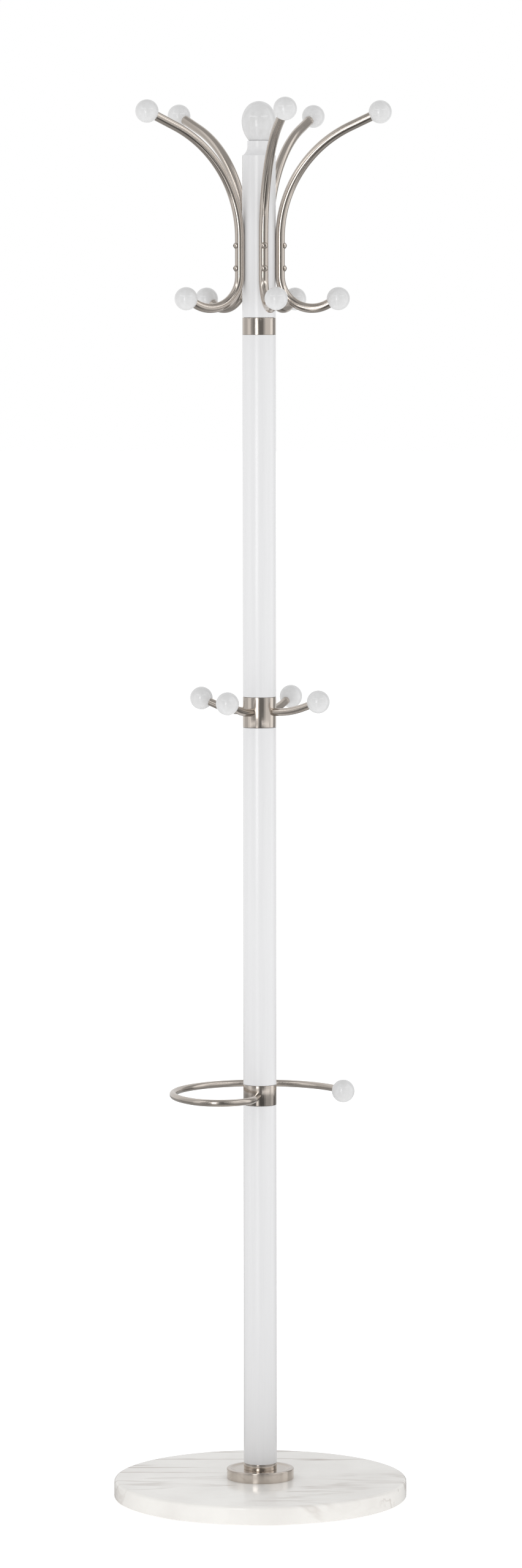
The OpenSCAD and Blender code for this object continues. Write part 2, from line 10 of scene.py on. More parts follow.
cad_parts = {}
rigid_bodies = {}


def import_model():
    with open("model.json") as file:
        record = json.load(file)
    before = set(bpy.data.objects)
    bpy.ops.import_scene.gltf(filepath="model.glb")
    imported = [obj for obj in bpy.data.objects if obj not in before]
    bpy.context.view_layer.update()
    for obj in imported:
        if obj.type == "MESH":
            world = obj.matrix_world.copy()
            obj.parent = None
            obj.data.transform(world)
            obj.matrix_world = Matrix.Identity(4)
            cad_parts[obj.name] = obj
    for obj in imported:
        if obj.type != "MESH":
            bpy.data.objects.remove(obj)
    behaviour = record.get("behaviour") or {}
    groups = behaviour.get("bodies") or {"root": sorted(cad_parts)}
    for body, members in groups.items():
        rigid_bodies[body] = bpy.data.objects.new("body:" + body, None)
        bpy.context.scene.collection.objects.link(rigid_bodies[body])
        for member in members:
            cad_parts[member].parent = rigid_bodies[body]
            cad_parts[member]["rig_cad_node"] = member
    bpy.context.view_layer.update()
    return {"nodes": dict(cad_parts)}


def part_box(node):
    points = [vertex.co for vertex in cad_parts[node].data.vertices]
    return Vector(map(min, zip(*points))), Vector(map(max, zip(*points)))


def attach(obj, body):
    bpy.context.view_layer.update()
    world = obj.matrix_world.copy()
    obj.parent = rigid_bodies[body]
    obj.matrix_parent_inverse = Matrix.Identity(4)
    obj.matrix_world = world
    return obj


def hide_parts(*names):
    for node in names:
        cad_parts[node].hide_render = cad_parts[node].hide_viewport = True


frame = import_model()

bl_info = {
    "name": "Standing coat rack",
    "version": (1, 0, 0),
    "blender": (4, 5, 0),
    "location": "3D View > Sidebar > Coat rack",
    "description": "Fine meshes, finishes, studio and camera for a standing coat rack",
    "category": "Object",
}

MM = 0.001
# An outline's point nearer to the axis than this lies on it
AXIS_R = 1e-7
# Faces that meet at less than this are shaded as one
CREASE = math.radians(32)
# The Mix node's colour sockets by number, as other kinds of socket there share their names
FIRST_COLOUR, SECOND_COLOUR, MIXED_COLOUR = 6, 7, 2


# ---- Measures taken from the frame ----

def low(node):
    """Lowest corner of a CAD node."""
    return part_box(node)[0]


def high(node):
    """Highest corner of a CAD node."""
    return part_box(node)[1]


def middle(node):
    """Middle of a CAD node's box."""
    return (low(node) + high(node)) / 2


def radius(node):
    """Half of a CAD node's width across X."""
    return (high(node).x - low(node).x) / 2


def nodes_like(stem):
    """The CAD nodes called stem and a number, in order."""
    found = [n for n in frame["nodes"] if n.startswith(stem) and n[len(stem):].isdigit()]
    return sorted(found, key=lambda n: int(n[len(stem):]))


ARMS, SHORT_HOOKS = nodes_like("arm_"), nodes_like("hook_")
UPPER_BALLS, LOWER_BALLS = nodes_like("upper_ball_"), nodes_like("lower_ball_")
HOOK_BALLS = nodes_like("hook_ball_")
POST_R = radius("middle_post")
BALL_R = radius("ring_ball")


def direction(node):
    """Compass angle of a node's middle round the post, from +X."""
    place = middle(node)
    return math.atan2(place.y, place.x)


def reach(node):
    """Distance of a node's middle from the post's axis."""
    return middle(node).xy.length


# ---- Colours ----

def linear(code):
    """An sRGB hex colour as linear red, green and blue."""
    shares = [int(code[i:i + 2], 16) / 255 for i in (0, 2, 4)]
    return tuple(c / 12.92 if c <= 0.04045 else ((c + 0.055) / 1.055) ** 2.4 for c in shares)


def colour_property(name, description, code):
    """A colour that a user can pick, which starts from an sRGB hex value."""
    return FloatVectorProperty(
        name=name, description=description, subtype="COLOR", size=3, min=0, max=1, default=linear(code))


def length_property(name, description, millimetres):
    """A length that a user can set, which starts from a size in millimetres."""
    return FloatProperty(
        name=name, description=description, unit="LENGTH", subtype="DISTANCE", min=0,
        default=millimetres * MM, precision=4)


def angle_property(name, description, degrees):
    """An angle that a user can set, which starts from a value in degrees."""
    return FloatProperty(
        name=name, description=description, unit="ROTATION", subtype="ANGLE",
        default=math.radians(degrees))


# ---- Sizes, colours and lights that a user would change ----

class FootSettings(PropertyGroup):
    """Marble disc, pads and flange"""
    top_round: length_property("Top round", "Radius of the disc's polished top edge", 4.5)
    low_round: length_property("Low round", "Radius of the disc's lower edge", 2)
    pocket_r: length_property("Pocket radius", "Radius of the pocket under the disc", 23)
    pocket_depth: length_property("Pocket depth", "Depth of the pocket under the disc", 11)
    flange_round: length_property("Flange round", "Radius of the flange's top edge", 1.5)
    flange_lip: length_property("Flange lip", "Rise of the lip round the flange's top", 1.5)
    flange_lip_w: length_property("Lip width", "Width of the lip", 4.5)
    flange_dish_r: length_property("Flange dish", "Radius of the dish that leads up to the lip", 13)
    flange_low_round: length_property("Flange foot", "Radius of the flange's lower edge", 0.3)
    inner_round: length_property("Inner edges", "Radius of the lip's and the pocket's inner edges", 0.5)
    bore_gap: length_property("Bore gap", "Play between the stud and the bores round it", 0.25)
    pad_r: length_property("Pad radius", "Radius of the felt pads", 15)
    pads: IntProperty(name="Pads", description="How many felt pads stand under the disc", default=5, min=3)
    pad_round: length_property("Pad round", "Radius of the felt pads' edges", 0.5)


class PostSettings(PropertyGroup):
    """Turned posts, sleeves and knob"""
    wall: length_property("Sleeve wall", "Wall of the metal sleeves", 2)
    edge: length_property("Edge round", "Radius of the broken edges of sleeves and posts", 0.4)
    gap: length_property("Turning gap", "Gap between the faces of parts that turn", 0.3)
    tenon_gap: length_property("Tenon gap", "Play between a tenon and its sleeve", 0.1)
    tenon_round: length_property("Tenon round", "Radius of a tenon's end", 1)
    socket_gap: length_property("Socket gap", "Play between the pivot's socket and its bore", 0.05)
    neck_r: length_property("Neck radius", "Radius of the neck under the knob", 14.75)
    neck_l: length_property("Neck length", "Length of the straight neck", 6.9)
    cove_h: length_property("Cove height", "Height of the cove over the head's shoulder", 11.7)
    knob_waist: length_property("Knob waist", "Height of the knob's widest line above its foot", 25.2)
    knob_low_r: length_property("Knob low radius", "Radius of the profile under the widest line", 38.3)
    knob_side_r: length_property("Knob side radius", "Radius of the profile over the widest line", 28.5)
    knob_side_angle: angle_property("Knob side angle", "Where the side radius meets the crown", 40)


class TubeSettings(PropertyGroup):
    """Bent tubes and rods, and their screws"""
    root: length_property("Root", "How far a rod or tube goes into the wall of its sleeve", 1.6)
    ball_stop: length_property("Ball stop", "How far short of its ball's middle a tube ends", 4)
    ring_bend_r: length_property("Ring bend radius", "Bend that leads the stub into the ring", 45)
    ring_mouth: angle_property("Ring mouth", "Opening of the ring from stub to ball", 114)
    hook_d: length_property("Hook rod", "Diameter of the short hooks' rod", 10)
    hook_lead: length_property("Hook lead", "Straight length before a short hook's bend", 3)
    hook_bend_r: length_property("Hook bend radius", "Radius of a short hook's bend", 114)
    hook_bend: angle_property("Hook bend", "Turn of a short hook's bend", 20)
    arm_d: length_property("Arm tube", "Diameter of the arms' tube", 12)
    arm_up_r: length_property("Upper bend radius", "Radius of an arm's upper bend", 156)
    arm_up: angle_property("Upper bend", "Turn of an arm's upper bend", 65)
    arm_low_r: length_property("Lower bend radius", "Radius of an arm's lower bend", 41.4)
    arm_low: angle_property("Lower bend", "Turn of an arm's lower bend", 117)
    screw_edge: length_property("Screw edge", "From an arm's bend to its nearest screw", 9.4)
    screw_d: length_property("Screw shank", "Diameter of the arm screws", 4)
    screw_head_d: length_property("Screw head", "Diameter of the arm screws' domed heads", 9)
    screw_head_h: length_property("Screw head height", "Height of the domed heads", 3.2)
    screw_sink: length_property("Screw sink", "How far the heads sit below the tube's crest", 0.7)
    screw_depth: length_property("Screw depth", "How deep the screws go into the post", 16)
    screw_hex: length_property("Screw recess", "Width across the flats of the recess", 3)
    screw_hex_floor: length_property("Recess floor", "From a head's underside to its recess", 1.1)
    sides: IntProperty(name="Sides", description="Facets round a tube", default=40, min=12)


class FinishSettings(PropertyGroup):
    """Colours of the finishes"""
    lacquer: colour_property("Lacquer", "White lacquer on the turned posts", "e2e2e3")
    lacquer_grain: colour_property("Grain", "Lacquer over the open grain", "e0e0e1")
    ball: colour_property("Balls", "Gloss white lacquer on the balls and the knob", "d6d6d6")
    nickel: colour_property("Nickel", "Satin nickel plating", "cec5bc")
    marble: colour_property("Marble", "Ground of the white marble", "f1efeb")
    marble_cloud: colour_property("Marble cloud", "Clouds in the marble", "e4e1dd")
    marble_vein: colour_property("Marble vein", "Fine veins in the marble", "b3a9a1")


class StudioSettings(PropertyGroup):
    """Camera, floor and lights"""
    camera_distance: length_property("Camera distance", "From the post's axis to the camera", 7547)
    camera_height: length_property("Camera height", "Camera above the floor", 1528.6)
    camera_side: length_property("Camera side", "Camera to the right of the post", 1.8)
    camera_tilt: angle_property("Camera tilt", "How far the camera looks down", 4.533)
    camera_roll: angle_property("Camera roll", "How far the camera leans to the right", 0.06)
    focal: FloatProperty(name="Focal length", description="Lens in millimetres", default=134.92, min=10)
    fill: FloatProperty(name="Fill", description="Brightness of the white room", default=0.93, min=0)
    ceiling: FloatProperty(name="Ceiling", description="Room's brightness in mirrors", default=0.42, min=0)
    floor_glow: FloatProperty(name="Floor glow", description="Light of the lit floor", default=0.42, min=0)
    floor_card: FloatProperty(
        name="Floor in mirrors", description="Floor's brightness in mirrors", default=0.36, min=0)
    card_r: length_property("Card distance", "From the post to the reflection cards", 3000)
    card_h: length_property("Card height", "Height of the reflection cards", 5500)
    card_low_h: length_property("Low card height", "Height up to which the cards are dim", 220)
    card_floor_r: length_property("Floor card", "Radius of the floor's plain middle in mirrors", 1000)


SETTINGS = {
    "rack_foot": FootSettings,
    "rack_post": PostSettings,
    "rack_tubes": TubeSettings,
    "rack_finish": FinishSettings,
    "rack_studio": StudioSettings,
}


# ---- Outlines, meshes and paths ----

def rounded(corners, steps=6):
    """Outline through corners of radius, level and rounding, with an arc at each that has a rounding."""
    outline = []
    for i, (r, z, rounding) in enumerate(corners):
        here = Vector((r, z))
        if rounding == 0:
            outline.append(here)
            continue
        back = (Vector(corners[i - 1][:2]) - here).normalized()
        on = (Vector(corners[(i + 1) % len(corners)][:2]) - here).normalized()
        half = back.angle(on) / 2
        centre = here + (back + on).normalized() * rounding / math.sin(half)
        start = here + back * rounding / math.tan(half) - centre
        turn = start.angle_signed(here + on * rounding / math.tan(half) - centre)
        for k in range(steps + 1):
            angle = -turn * k / steps
            outline.append(centre + Vector((
                start.x * math.cos(angle) - start.y * math.sin(angle),
                start.x * math.sin(angle) + start.y * math.cos(angle))))
    return outline


def arc(centre_r, centre_z, size, first, last, steps):
    """Points along an arc of an outline, between two angles in radians."""
    angles = [first + (last - first) * k / steps for k in range(steps + 1)]
    return [Vector((centre_r + size * math.cos(a), centre_z + size * math.sin(a))) for a in angles]


def lathe(name, outline, steps=160):
    """A mesh turned round Z from an outline of radius and level, closed on the axis or on itself."""
    shape = bmesh.new()
    rings = []
    for r, z in outline:
        if r < AXIS_R:
            rings.append([shape.verts.new((0, 0, z))] * steps)
            continue
        turns = [math.tau * k / steps for k in range(steps)]
        rings.append([shape.verts.new((r * math.cos(t), r * math.sin(t), z)) for t in turns])
    on_axis = outline[0][0] < AXIS_R and outline[-1][0] < AXIS_R
    pairs = list(zip(rings, rings[1:])) + ([] if on_axis else [(rings[-1], rings[0])])
    for lower, upper in pairs:
        for k in range(steps):
            after = (k + 1) % steps
            corners = dict.fromkeys((lower[k], lower[after], upper[after], upper[k]))
            if len(corners) > 2:
                shape.faces.new(corners)
    return finished_mesh(name, shape)


def finished_mesh(name, shape):
    """Turn a bmesh's faces outwards, make it a mesh and shade it smooth up to the crease angle."""
    bmesh.ops.recalc_face_normals(shape, faces=shape.faces)
    mesh = bpy.data.meshes.new(name)
    shape.to_mesh(mesh)
    shape.free()
    mesh.shade_smooth()
    mesh.set_sharp_from_angle(angle=CREASE)
    return mesh


def add_object(name, mesh, material=None):
    """Put a mesh in the scene at the origin, with its material."""
    piece = bpy.data.objects.new(name, mesh)
    bpy.context.scene.collection.objects.link(piece)
    if material is not None:
        mesh.materials.clear()
        mesh.materials.append(material)
    return piece


def hand_over(piece, body, nodes):
    """Let a piece stand for its CAD nodes, on their body."""
    if not nodes:
        raise RuntimeError(f"{piece.name} stands for no CAD node")
    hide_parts(*nodes)
    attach(piece, body)


def bent_path(heading, moves, start=(0, 0), step=2 * MM):
    """Points of a path in a plane: runs of a length, and bends of a radius and a signed turn."""
    here, points = Vector(start), [Vector(start)]
    for move in moves:
        if len(move) == 1:
            here = here + Vector((math.cos(heading), math.sin(heading))) * move[0]
            points.append(here)
            continue
        size, turn = move
        side = math.copysign(1, turn)
        centre = here + Vector((-math.sin(heading), math.cos(heading))) * side * size
        count = max(4, round(abs(turn) * size / step))
        for k in range(1, count + 1):
            angle = heading + turn * k / count
            points.append(centre + Vector((math.sin(angle), -math.cos(angle))) * side * size)
        heading += turn
        here = points[-1]
    return points


def path_mesh(name, places):
    """A mesh of edges along a path."""
    mesh = bpy.data.meshes.new(name)
    mesh.from_pydata(places, [(k, k + 1) for k in range(len(places) - 1)], [])
    return mesh


# ---- Materials ----

def add(tree, kind, settings=(), links=()):
    """Add a node: settings by property name or input, and links from other nodes' sockets to inputs."""
    node = tree.nodes.new(kind)
    for key, value in dict(settings).items():
        if isinstance(key, int) or key in node.inputs:
            node.inputs[key].default_value = value
        else:
            setattr(node, key, value)
    for key, socket in dict(links).items():
        tree.links.new(socket, node.inputs[key])
    return node


def new_material(name):
    """A material with an empty tree, its shader and its output."""
    material = bpy.data.materials.new(name)
    material.use_nodes = True
    tree = material.node_tree
    tree.nodes.clear()
    shader = add(tree, "ShaderNodeBsdfPrincipled")
    add(tree, "ShaderNodeOutputMaterial", links={"Surface": shader.outputs["BSDF"]})
    return material, tree, shader


def rgba(colour):
    """A linear colour with full alpha."""
    return (*tuple(colour)[:3], 1)


def noise_over(tree, sizes, settings=(), turn=0):
    """Noise in a piece's own coordinates, of a size along X, Y and Z in millimetres and turned round Z."""
    place = add(tree, "ShaderNodeTexCoord")
    grain = add(
        tree, "ShaderNodeMapping",
        {"Rotation": (0, 0, turn), "Scale": [1 / (size * MM) for size in sizes]},
        {"Vector": place.outputs["Object"]})
    noise = {"Scale": 1, "Detail": 3, **dict(settings)}
    return add(tree, "ShaderNodeTexNoise", noise, {"Vector": grain.outputs["Vector"]}).outputs[0]


def two_tone(name, tones, sizes, seen, roughness, share=1, detail=3):
    """A dull or lacquered finish whose colour drifts from one tone to another with a noise.

    The drift follows the noise between the two values in seen, and share is the most of the second tone.
    """
    material, tree, shader = new_material(name)
    noise = noise_over(tree, sizes, {"Detail": detail})
    drift = add(
        tree, "ShaderNodeMapRange", {"From Min": seen[0], "From Max": seen[1], "To Max": share},
        {"Value": noise})
    tone = add(
        tree, "ShaderNodeMix",
        {"data_type": "RGBA", FIRST_COLOUR: rgba(tones[0]), SECOND_COLOUR: rgba(tones[1])},
        {"Factor": drift.outputs[0]})
    tree.links.new(tone.outputs[MIXED_COLOUR], shader.inputs["Base Color"])
    shader.inputs["Roughness"].default_value = roughness
    shader.inputs["IOR"].default_value = 1.5
    return material, tree, shader, drift.outputs[0]


def worked_metal(name, colour, sizes, roughness):
    """A metal of even colour, whose roughness varies between two values with how it was worked."""
    material, tree, shader = new_material(name)
    marks = noise_over(tree, sizes)
    sheen = add(
        tree, "ShaderNodeMapRange",
        {"From Min": 0.3, "From Max": 0.7, "To Min": roughness[0], "To Max": roughness[1]},
        {"Value": marks})
    shader.inputs["Base Color"].default_value = rgba(colour)
    shader.inputs["Metallic"].default_value = 1
    tree.links.new(sheen.outputs[0], shader.inputs["Roughness"])
    return material, tree, shader, marks


def satin_lacquer(finish):
    """Satin white lacquer sprayed on turned hardwood: even, with the grain only just to be seen."""
    material, tree, shader, grain = two_tone(
        "White lacquer on turned wood, satin", (finish.lacquer, finish.lacquer_grain),
        (2.2, 2.2, 90), (0.4, 0.75), 0.24)
    bump = add(tree, "ShaderNodeBump", {"Strength": 1, "Distance": 0.001 * MM}, {"Height": grain})
    tree.links.new(bump.outputs["Normal"], shader.inputs["Normal"])
    return material


def gloss_lacquer(finish):
    """Gloss white lacquer on turned beads: a small sharp highlight over a faint cloudiness."""
    return two_tone(
        "White lacquer on turned beads, gloss", (finish.ball, finish.lacquer_grain),
        (7, 7, 12), (0.4, 0.8), 0.08, share=0.7, detail=2)[0]


def nickel_on_sleeves(finish):
    """Satin nickel over turned steel: fine lines round the sleeve soften its reflections."""
    material, tree, shader, lines = worked_metal(
        "Satin nickel plating, turned sleeves", finish.nickel, (90, 90, 0.5), (0.1, 0.19))
    bump = add(tree, "ShaderNodeBump", {"Strength": 1, "Distance": 0.0015 * MM}, {"Height": lines})
    tree.links.new(bump.outputs["Normal"], shader.inputs["Normal"])
    return material


def nickel_on_tubes(finish):
    """Satin nickel over drawn and bent tube: smooth, with slightly uneven gloss."""
    return worked_metal(
        "Satin nickel plating, drawn tube", finish.nickel, (9, 9, 9), (0.14, 0.22))[0]


def white_marble(finish):
    """Polished white marble: pale, with soft clouds and a few thin grey veins, mirror-like at low angles."""
    material, tree, shader = new_material("White marble, polished")
    clouds = noise_over(tree, (91, 91, 91), {"Detail": 5, "Roughness": 0.55})
    cloudy = add(
        tree, "ShaderNodeMapRange", {"From Min": 0.35, "From Max": 0.72}, {"Value": clouds})
    ground = add(
        tree, "ShaderNodeMix",
        {"data_type": "RGBA", FIRST_COLOUR: rgba(finish.marble),
         SECOND_COLOUR: rgba(finish.marble_cloud)},
        {"Factor": cloudy.outputs[0]})
    # A vein runs where a stretched noise crosses its middle value: 1 to 3 mm wide, 40 to 90 mm apart
    flow = noise_over(
        tree, (625, 71.4, 71.4), {"Detail": 5, "Roughness": 0.55, "Distortion": 0.35},
        math.radians(-9))
    offset = add(tree, "ShaderNodeMath", {"operation": "SUBTRACT", 1: 0.5}, {0: flow})
    crossing = add(tree, "ShaderNodeMath", {"operation": "ABSOLUTE"}, {0: offset.outputs[0]})
    thread = add(
        tree, "ShaderNodeMapRange", {"From Max": 0.03, "To Min": 1, "To Max": 0},
        {"Value": crossing.outputs[0]})
    # The veins come in patches, which gather towards the back left of the disc
    patches = noise_over(tree, (143, 143, 143), {"Detail": 2})
    place = add(tree, "ShaderNodeTexCoord")
    parts = add(tree, "ShaderNodeSeparateXYZ", links={"Vector": place.outputs["Object"]})
    for axis, bare, full, most in (("X", 0.12, -0.15, 0.22), ("Y", -0.12, 0.15, 0.16)):
        nearness = add(
            tree, "ShaderNodeMapRange", {"From Min": bare, "From Max": full, "To Max": most},
            {"Value": parts.outputs[axis]})
        gathered = add(
            tree, "ShaderNodeMath", {"operation": "ADD"}, {0: patches, 1: nearness.outputs[0]})
        patches = gathered.outputs[0]
    shown = add(
        tree, "ShaderNodeMapRange", {"From Min": 0.55, "From Max": 0.85, "To Min": 0.05},
        {"Value": patches})
    share = add(
        tree, "ShaderNodeMath", {"operation": "MULTIPLY"}, {0: thread.outputs[0], 1: shown.outputs[0]})
    tone = add(
        tree, "ShaderNodeMix", {"data_type": "RGBA", SECOND_COLOUR: rgba(finish.marble_vein)},
        {"Factor": share.outputs[0], FIRST_COLOUR: ground.outputs[MIXED_COLOUR]})
    tree.links.new(tone.outputs[MIXED_COLOUR], shader.inputs["Base Color"])
    shader.inputs["Roughness"].default_value = 0.16
    shader.inputs["IOR"].default_value = 1.45
    return material


def grey_felt():
    """Pressed wool felt: matt and fibrous."""
    material, tree, shader, fibres = two_tone(
        "Pressed wool felt, grey", (linear("8c8a86"), linear("5f5d5a")),
        (0.6, 0.6, 0.6), (0, 1), 0.95, detail=4)
    bump = add(tree, "ShaderNodeBump", {"Strength": 1, "Distance": 0.15 * MM}, {"Height": fibres})
    tree.links.new(bump.outputs["Normal"], shader.inputs["Normal"])
    return material


def zinc_plate():
    """Zinc-plated steel: cool grey, soft gloss with cloudy spangle."""
    return worked_metal("Zinc-plated steel", linear("c3c6ca"), (4, 4, 4), (0.28, 0.45))[0]


def turned_brass():
    """Brass turned from bar: yellow, with fine lines round it."""
    return worked_metal("Turned brass", linear("d9b566"), (40, 40, 0.4), (0.2, 0.36))[0]


def natural_nylon():
    """Nylon washer cut from sheet: milky and dull."""
    return two_tone(
        "Natural nylon, cut from sheet", (linear("efece0"), linear("e4e0d2")),
        (3, 3, 3), (0, 1), 0.5, detail=2)[0]


MADE = {}


def material_of(name):
    """A finish by name, made once."""
    makers = {
        "posts": satin_lacquer, "balls": gloss_lacquer, "sleeves": nickel_on_sleeves,
        "tubes": nickel_on_tubes, "marble": white_marble}
    plain = {"felt": grey_felt, "zinc": zinc_plate, "brass": turned_brass, "nylon": natural_nylon}
    if name not in MADE:
        finish = bpy.context.scene.rack_finish
        MADE[name] = makers[name](finish) if name in makers else plain[name]()
    return MADE[name]


# ---- Geometry Nodes ----

def tree_inputs(tree, *sockets):
    """Name a geometry tree's inputs and give it its output, and return the node that feeds them in."""
    tree.interface.new_socket(name="Geometry", in_out="INPUT", socket_type="NodeSocketGeometry")
    for name, kind, default in sockets:
        socket = tree.interface.new_socket(name=name, in_out="INPUT", socket_type=kind)
        if default is not None:
            socket.default_value = default
    tree.interface.new_socket(name="Geometry", in_out="OUTPUT", socket_type="NodeSocketGeometry")
    return add(tree, "NodeGroupInput").outputs


def close_tree(tree, geometry, material):
    """End a geometry tree: instances realised, then the material set."""
    real = add(tree, "GeometryNodeRealizeInstances", links={"Geometry": geometry})
    faced = add(
        tree, "GeometryNodeSetMaterial", links={"Geometry": real.outputs[0], "Material": material})
    add(tree, "NodeGroupOutput", links={0: faced.outputs[0]})


def tube_tree():
    """Tree that sweeps a round tube along a path."""
    tree = bpy.data.node_groups.new("Bent tube", "GeometryNodeTree")
    given = tree_inputs(
        tree, ("Diameter", "NodeSocketFloat", 0.01), ("Sides", "NodeSocketInt", 32),
        ("Material", "NodeSocketMaterial", None))
    line = add(tree, "GeometryNodeMeshToCurve", links={"Mesh": given["Geometry"]})
    half = add(tree, "ShaderNodeMath", {"operation": "MULTIPLY", 1: 0.5}, {0: given["Diameter"]})
    section = add(
        tree, "GeometryNodeCurvePrimitiveCircle",
        links={"Resolution": given["Sides"], "Radius": half.outputs[0]})
    swept = add(
        tree, "GeometryNodeCurveToMesh", {"Fill Caps": True},
        {"Curve": line.outputs[0], "Profile Curve": section.outputs[0]})
    smooth = add(tree, "GeometryNodeSetShadeSmooth", links={0: swept.outputs[0]})
    close_tree(tree, smooth.outputs[0], given["Material"])
    return tree


def repeat_tree():
    """Tree that sets one piece on each point, its X axis turned away from the post."""
    tree = bpy.data.node_groups.new("Pieces set round a post", "GeometryNodeTree")
    given = tree_inputs(
        tree, ("Piece", "NodeSocketObject", None), ("Material", "NodeSocketMaterial", None))
    one = add(tree, "GeometryNodeObjectInfo", links={"Object": given["Piece"]})
    place = add(tree, "GeometryNodeInputPosition")
    level = add(
        tree, "ShaderNodeVectorMath", {"operation": "MULTIPLY", 1: (1, 1, 0)},
        {0: place.outputs[0]})
    rotation = add(
        tree, "FunctionNodeAlignRotationToVector", {"axis": "X", "pivot_axis": "Z"},
        {"Vector": level.outputs[0]})
    spots = add(tree, "GeometryNodeMeshToPoints", links={"Mesh": given["Geometry"]})
    placed = add(
        tree, "GeometryNodeInstanceOnPoints",
        links={"Points": spots.outputs[0], "Instance": one.outputs["Geometry"],
               "Rotation": rotation.outputs[0]})
    close_tree(tree, placed.outputs[0], given["Material"])
    return tree


def grown(name, seed_mesh, tree, values):
    """Run a geometry tree on a mesh with named values, and return the result as a plain object."""
    seed = add_object(name + "_seed", seed_mesh)
    modifier = seed.modifiers.new("Grow", "NODES")
    modifier.node_group = tree
    for item in tree.interface.items_tree:
        if item.in_out == "INPUT" and item.name in values:
            modifier[item.identifier] = values[item.name]
    seed.update_tag()
    depsgraph = bpy.context.evaluated_depsgraph_get()
    mesh = bpy.data.meshes.new_from_object(
        seed.evaluated_get(depsgraph), preserve_all_data_layers=True, depsgraph=depsgraph)
    mesh.name = name
    if not mesh.polygons:
        raise RuntimeError(f"the tree made nothing for {name}")
    bpy.data.objects.remove(seed)
    return add_object(name, mesh)


def sweep(name, places, diameter, finish):
    """A tube along a path, as a plain object."""
    values = {
        "Diameter": diameter, "Sides": bpy.context.scene.rack_tubes.sides,
        "Material": material_of(finish)}
    return grown(name, path_mesh(name, places), tube_tree(), values)


def set_round(name, one, places, finish):
    """One object repeated on a list of places, facing away from the post, as a plain object."""
    spots = bpy.data.meshes.new(name + "_places")
    spots.from_pydata(places, [], [])
    result = grown(name, spots, repeat_tree(), {"Piece": one, "Material": material_of(finish)})
    bpy.data.objects.remove(one)
    return result


def round_the_post(nodes, distance, levels=(0,)):
    """Places at a distance from the post's axis, in the direction of each node, at each level."""
    bearings = [direction(node) for node in nodes]
    return [(distance * math.cos(b), distance * math.sin(b), z) for b in bearings for z in levels]


# ---- Foot ----

class RACK_OT_marble_disc(Operator):
    """Turn the marble disc with its polished edges and the pocket beneath"""
    bl_idname = "rack.marble_disc"
    bl_label = "Marble disc"

    def execute(self, context):
        foot = context.scene.rack_foot
        size, floor, top = radius("marble_base"), low("marble_base").z, high("marble_base").z
        pocket = floor + foot.pocket_depth
        bore = radius("joint_studs") + foot.bore_gap
        outline = rounded([
            (bore, pocket, 0), (foot.pocket_r, pocket, 0), (foot.pocket_r, floor, foot.inner_round),
            (size, floor, foot.low_round), (size, top, foot.top_round), (bore, top, 0)], steps=10)
        disc = add_object("marble_disc", lathe("marble_disc", outline, steps=320), material_of("marble"))
        hand_over(disc, "stand", ["marble_base"])
        return {"FINISHED"}


class RACK_OT_felt_pads(Operator):
    """Cut the felt pads and set them under the disc"""
    bl_idname = "rack.felt_pads"
    bl_label = "Felt pads"

    def execute(self, context):
        foot = context.scene.rack_foot
        thick = high("felt_pads").z
        # The first pad lies on +Y, at the far side, and its outer edge is the node's greatest Y
        ring = high("felt_pads").y - foot.pad_r
        outline = rounded([
            (0, 0, 0), (foot.pad_r, 0, foot.pad_round), (foot.pad_r, thick, foot.pad_round),
            (0, thick, 0)], steps=3)
        pad = lathe("felt_pad", outline, steps=48)
        angles = [math.pi / 2 + math.tau * k / foot.pads for k in range(foot.pads)]
        places = [(ring * math.cos(a), ring * math.sin(a), 0) for a in angles]
        pads = set_round("felt_pads_cut", add_object("felt_pad", pad), places, "felt")
        hand_over(pads, "stand", ["felt_pads"])
        return {"FINISHED"}


class RACK_OT_flange(Operator):
    """Turn the flange that holds the post to the disc"""
    bl_idname = "rack.flange"
    bl_label = "Flange"

    def execute(self, context):
        foot = context.scene.rack_foot
        size, floor, top = radius("base_flange"), low("base_flange").z, high("base_flange").z
        bore = radius("joint_studs") + foot.bore_gap
        dish_r, dish_end = foot.flange_dish_r, size - foot.flange_lip_w
        middle_top = top - foot.flange_lip
        rise = math.acos(1 - foot.flange_lip / dish_r)
        # The last corner lies down the dish's first slope, and the arc of the dish takes its place
        outline = rounded([
            (bore, floor, 0), (size, floor, foot.flange_low_round), (size, top, foot.flange_round),
            (dish_end, top, foot.inner_round), (dish_end - MM, top - math.tan(rise) * MM, 0)], steps=8)[:-1]
        # What the lip's rounded edge takes of that arc, in radians
        taken = 0.04
        outline += arc(
            dish_end - dish_r * math.sin(rise), middle_top + dish_r, dish_r,
            rise - math.pi / 2 - taken, -math.pi / 2, steps=12)
        outline += [Vector((bore, middle_top))]
        mesh = lathe("flange_turned", outline, steps=200)
        flange = add_object("flange_turned", mesh, material_of("sleeves"))
        hand_over(flange, "stand", ["base_flange"])
        return {"FINISHED"}


# ---- Post ----

class RACK_OT_sleeves(Operator):
    """Turn the four metal sleeves with their broken edges"""
    bl_idname = "rack.sleeves"
    bl_label = "Sleeves"

    def execute(self, context):
        post = context.scene.rack_post
        bodies = {
            "foot_ferrule": "stand", "ring_collar": "ring", "hook_collar": "hooks", "top_band": "stand"}
        for node, body in bodies.items():
            bore, foot, top = POST_R - post.wall, low(node).z, high(node).z
            outline = rounded([
                (bore, foot, 0), (POST_R, foot, post.edge), (POST_R, top, post.edge),
                (bore, top, 0)], steps=4)
            name = node + "_turned"
            sleeve = add_object(name, lathe(name, outline), material_of("sleeves"))
            hand_over(sleeve, body, [node])
        return {"FINISHED"}


